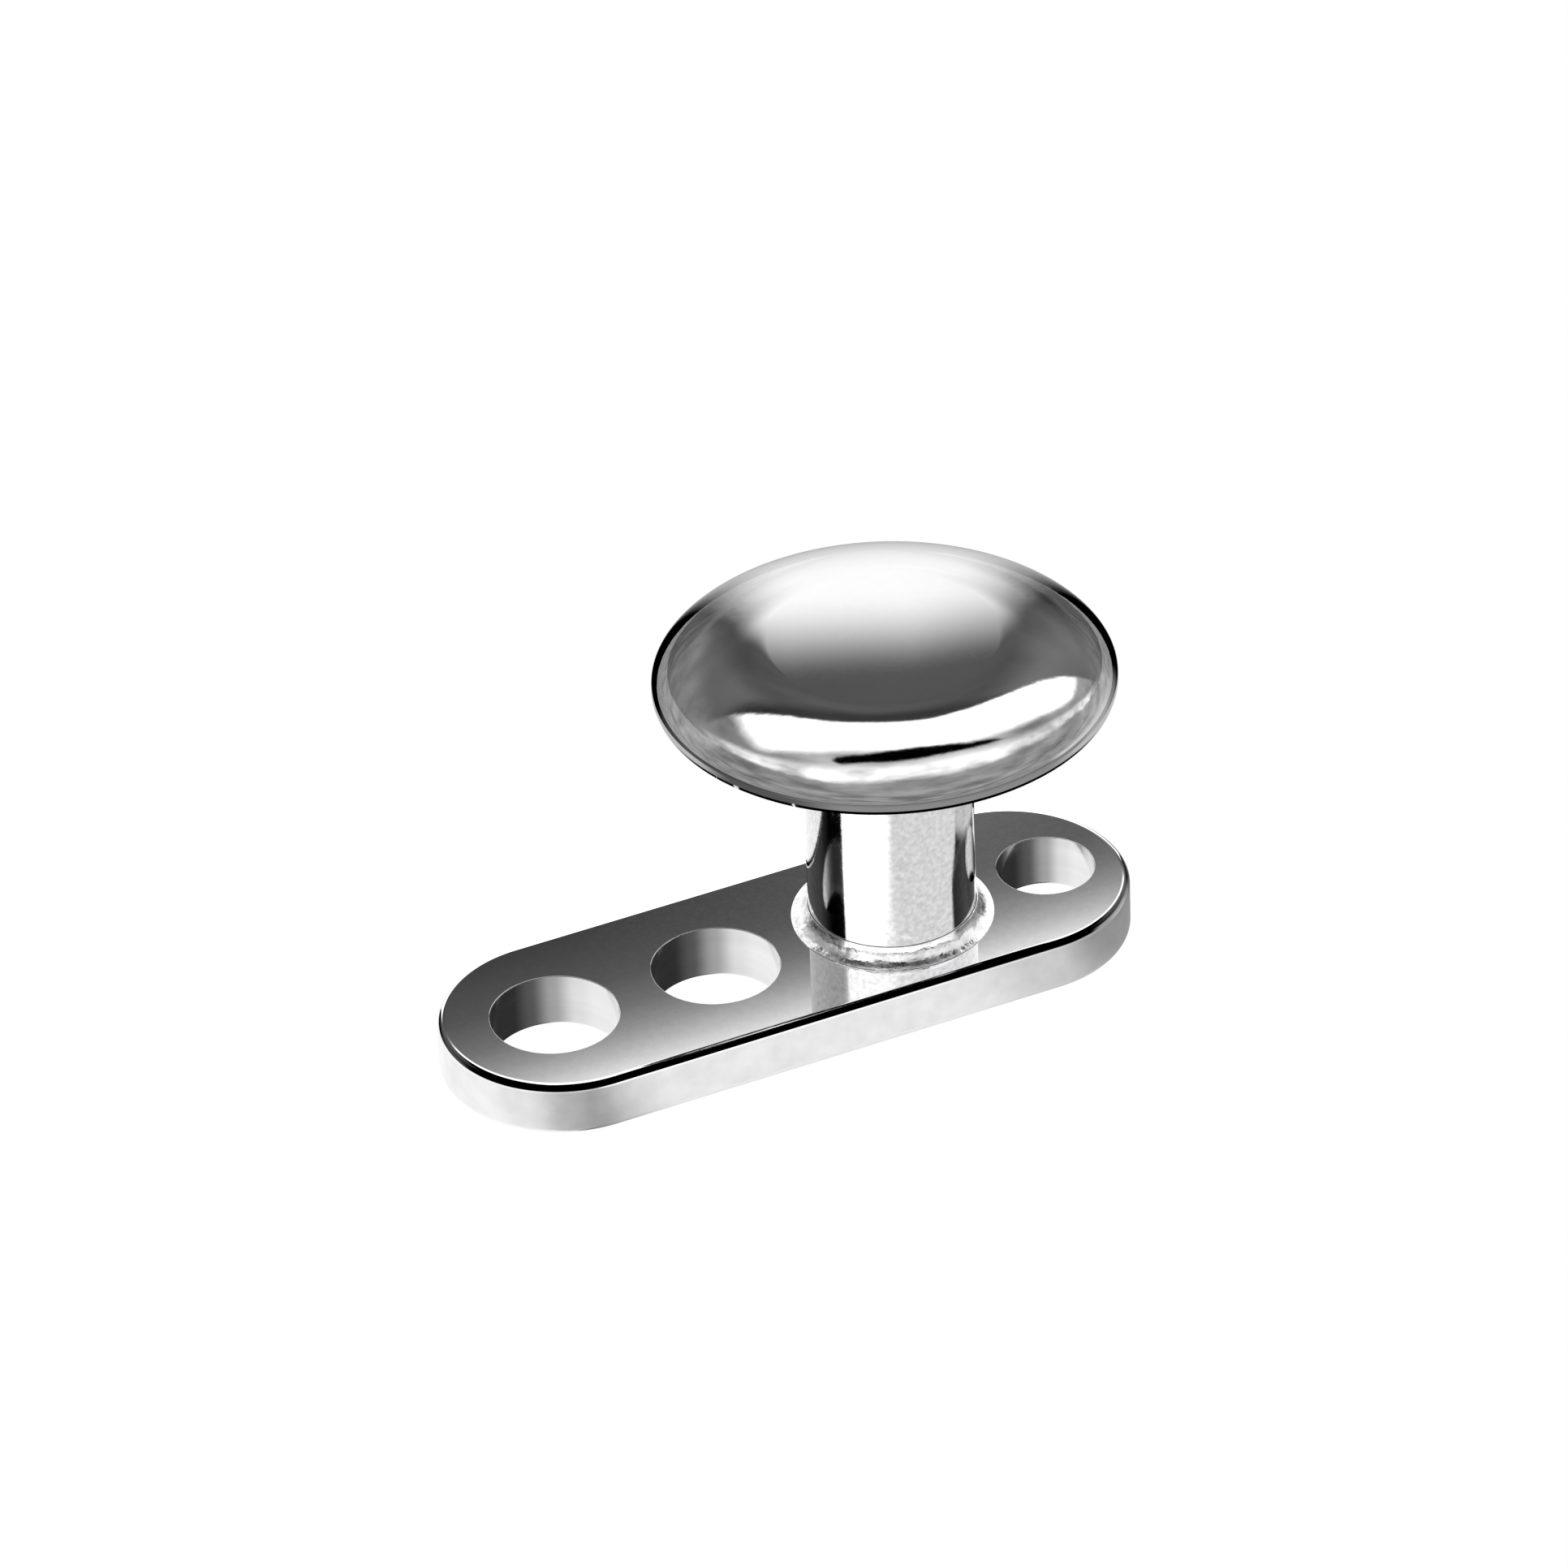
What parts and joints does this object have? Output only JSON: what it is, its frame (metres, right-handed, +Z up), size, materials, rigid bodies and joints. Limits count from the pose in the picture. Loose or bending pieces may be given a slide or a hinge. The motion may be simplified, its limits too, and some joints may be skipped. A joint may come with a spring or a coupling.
{
  "type": "dermal anchor with screw-on disc top",
  "caption": "Steel piercing anchor: a long foot plate with holes, an off-centre threaded post welded to it, and a rounded disc top that screws into the post.",
  "frame": {"origin": "on the post's axis, at the foot plate's underside", "axes": "+X along the foot plate towards its short end with the small hole, +Z up the post towards the disc"},
  "size_m": [0.0065, 0.004, 0.0034],
  "materials": {
    "polished_steel": "mirror polish",
    "satin_steel": "fine satin, as turned",
    "weld_steel": "polished weld bead"
  },
  "bodies": {
    "anchor": {"foot_plate": "polished_steel", "threaded_post": "satin_steel", "foot_weld": "weld_steel"},
    "lift": {"stud_weld": "weld_steel"},
    "top": {"disc_top": "polished_steel", "threaded_stud": "satin_steel"}
  },
  "joints": [
    {"name": "top_lift", "type": "slide", "parent": "anchor", "child": "lift", "axis": [0, 0, 1], "range_m": [0, 0.0016]},
    {"name": "top_turn", "type": "hinge", "parent": "lift", "child": "top", "pos_m": [0, 0, 0], "axis": [0, 0, 1], "range_deg": [0, 2305]}
  ],
  "couplings": [
    {"joint": "top_turn", "follows": "top_lift", "rad_per_m": 25133}
  ]
}
